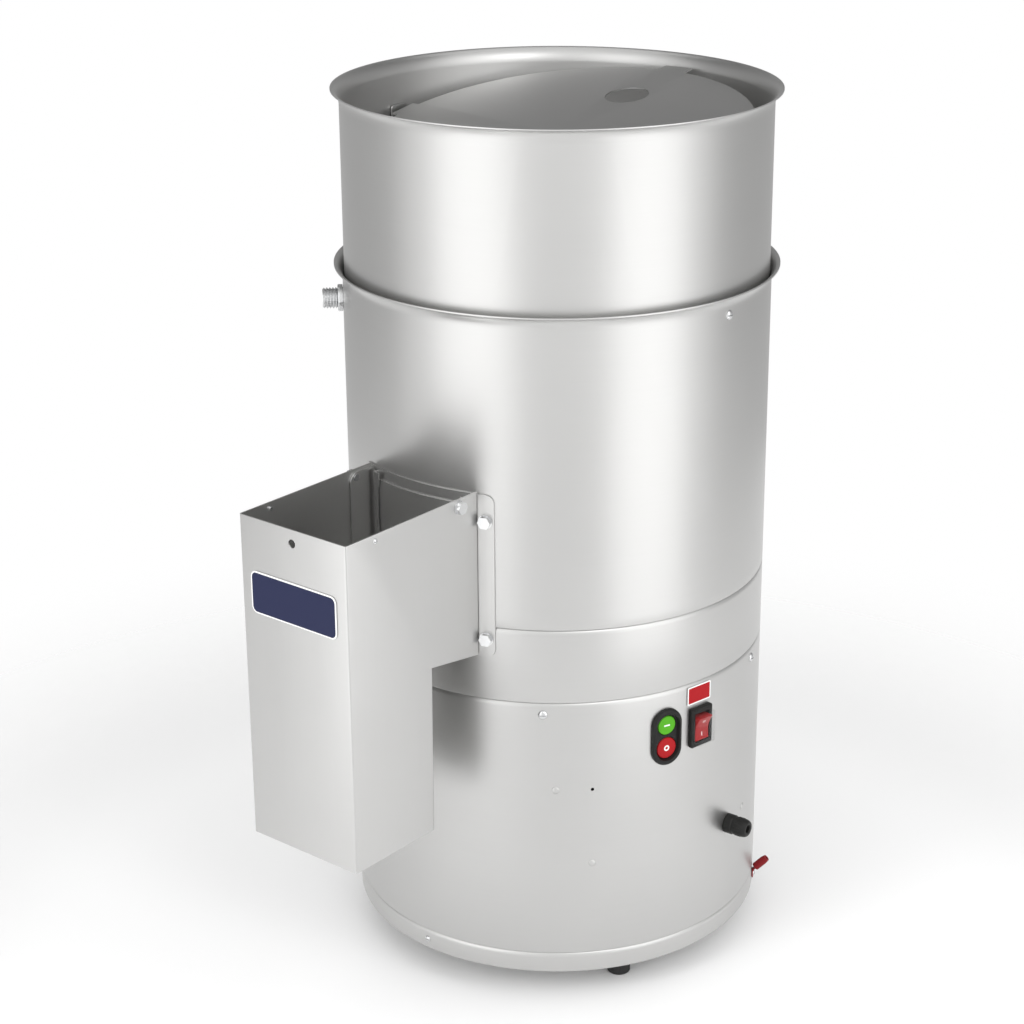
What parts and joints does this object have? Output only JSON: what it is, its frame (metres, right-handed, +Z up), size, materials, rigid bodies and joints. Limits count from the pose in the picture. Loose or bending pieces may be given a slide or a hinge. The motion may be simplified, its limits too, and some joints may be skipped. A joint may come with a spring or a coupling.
{
  "type": "electric potato peeler",
  "caption": "Upright steel drum peeler with a spinning abrasive disc, belt drive, loading ring with swinging lid, gated discharge chute and push-button controls.",
  "frame": {"origin": "middle of the whole footprint, at floor level under the feet", "axes": "+Z up along the drum, the chute towards -X, the controls on the -Y side"},
  "size_m": [0.571, 0.4098, 0.7928],
  "materials": {
    "steel": "satin brushed stainless",
    "bright_steel": "bright zinc or polished steel",
    "cast_aluminium": "as cast, machined faces",
    "dark_steel": "dark grey paint",
    "black_plastic": "fine grained black",
    "black_rubber": "matt black",
    "green_plastic": "gloss green",
    "red_plastic": "gloss red",
    "clear_plastic": "clear",
    "abrasive_grit": "coarse dark grit",
    "navy_plate": "dark blue enamel with a white border",
    "motor_paint": "blue-grey enamel"
  },
  "bodies": {
    "machine": {"abrasive_lining": "abrasive_grit", "base_pan": "steel", "bearing_housing": "cast_aluminium", "button_bezel": "black_plastic", "cable_gland": "black_plastic", "capacitor_clamp": "dark_steel", "chamber_pan": "steel", "chute_box": "steel", "chute_neck": "steel", "chute_plate_bolt_1": "bright_steel", "chute_plate_bolt_2": "bright_steel", "chute_plate_bolt_3": "bright_steel", "chute_plate_bolt_4": "bright_steel", "chute_wall_bolt_1": "bright_steel", "chute_wall_bolt_2": "bright_steel", "contact_block": "black_plastic", "drain_spout": "steel", "drive_belt": "black_rubber", "drum_shell": "steel", "earth_screw": "bright_steel", "earth_terminal": "red_plastic", "fan_cover": "dark_steel", "gland_nut": "black_plastic", "hopper_ring": "steel", "hopper_screw_1": "bright_steel", "hopper_screw_2": "bright_steel", "inlet_nut": "bright_steel", "lid_pivot_1": "steel", "lid_pivot_2": "steel", "lower_bearing": "bright_steel", "lower_end_bell": "cast_aluminium", "motor_body": "motor_paint", "motor_housing": "steel", "motor_stand": "dark_steel", "name_plate": "navy_plate", "red_sign": "red_plastic", "rocker_cover": "clear_plastic", "rocker_frame": "black_plastic", "rubber_foot_1": "black_rubber", "rubber_foot_2": "black_rubber", "rubber_foot_3": "black_rubber", "run_capacitor": "black_plastic", "shaft_seal": "black_rubber", "stator": "dark_steel", "upper_bearing": "bright_steel", "upper_end_bell": "cast_aluminium", "water_inlet": "bright_steel"},
    "disc_drive": {"abrasive_disc": "abrasive_grit", "drive_shaft": "bright_steel", "disc_cap_nut": "bright_steel", "driven_pulley": "cast_aluminium"},
    "rotor": {"motor_rotor": "bright_steel", "motor_pulley": "cast_aluminium", "motor_fan": "black_plastic"},
    "start_button": {"start_button": "green_plastic"},
    "stop_button": {"stop_button": "red_plastic"},
    "rocker": {"rocker_key": "red_plastic"},
    "lid": {"inner_lid": "steel"},
    "gate": {"discharge_gate": "steel"}
  },
  "joints": [
    {"name": "disc_spin", "type": "hinge", "parent": "machine", "child": "disc_drive", "pos_m": [0.0574, 0.00767, 0.326], "axis": [0, 0, 1], "continuous": true},
    {"name": "rotor_spin", "type": "hinge", "parent": "machine", "child": "rotor", "pos_m": [0.1114, 0.1012, 0.17], "axis": [0, 0, 1], "continuous": true},
    {"name": "start_press", "type": "slide", "parent": "machine", "child": "start_button", "axis": [0.3633, 0.9317, 0], "range_m": [0, 0.0035], "stiffness_N_per_m": 400, "springref_m": -0.001},
    {"name": "stop_press", "type": "slide", "parent": "machine", "child": "stop_button", "axis": [0.3633, 0.9317, 0], "range_m": [0, 0.0035], "stiffness_N_per_m": 400, "springref_m": -0.001},
    {"name": "rocker_tip", "type": "hinge", "parent": "machine", "child": "rocker", "pos_m": [0.02434, -0.17984, 0.2495], "axis": [-0.9848, 0.1736, 0], "range_deg": [0, 24]},
    {"name": "lid_swing", "type": "hinge", "parent": "machine", "child": "lid", "pos_m": [0.0574, 0.00767, 0.742], "axis": [0, -1, 0], "range_deg": [-10.1, 65]},
    {"name": "gate_lift", "type": "slide", "parent": "machine", "child": "gate", "axis": [0, 0, 1], "range_m": [0, 0.098]}
  ],
  "couplings": [
    {"joint": "rotor_spin", "follows": "disc_spin", "ratio": 3.1973}
  ]
}
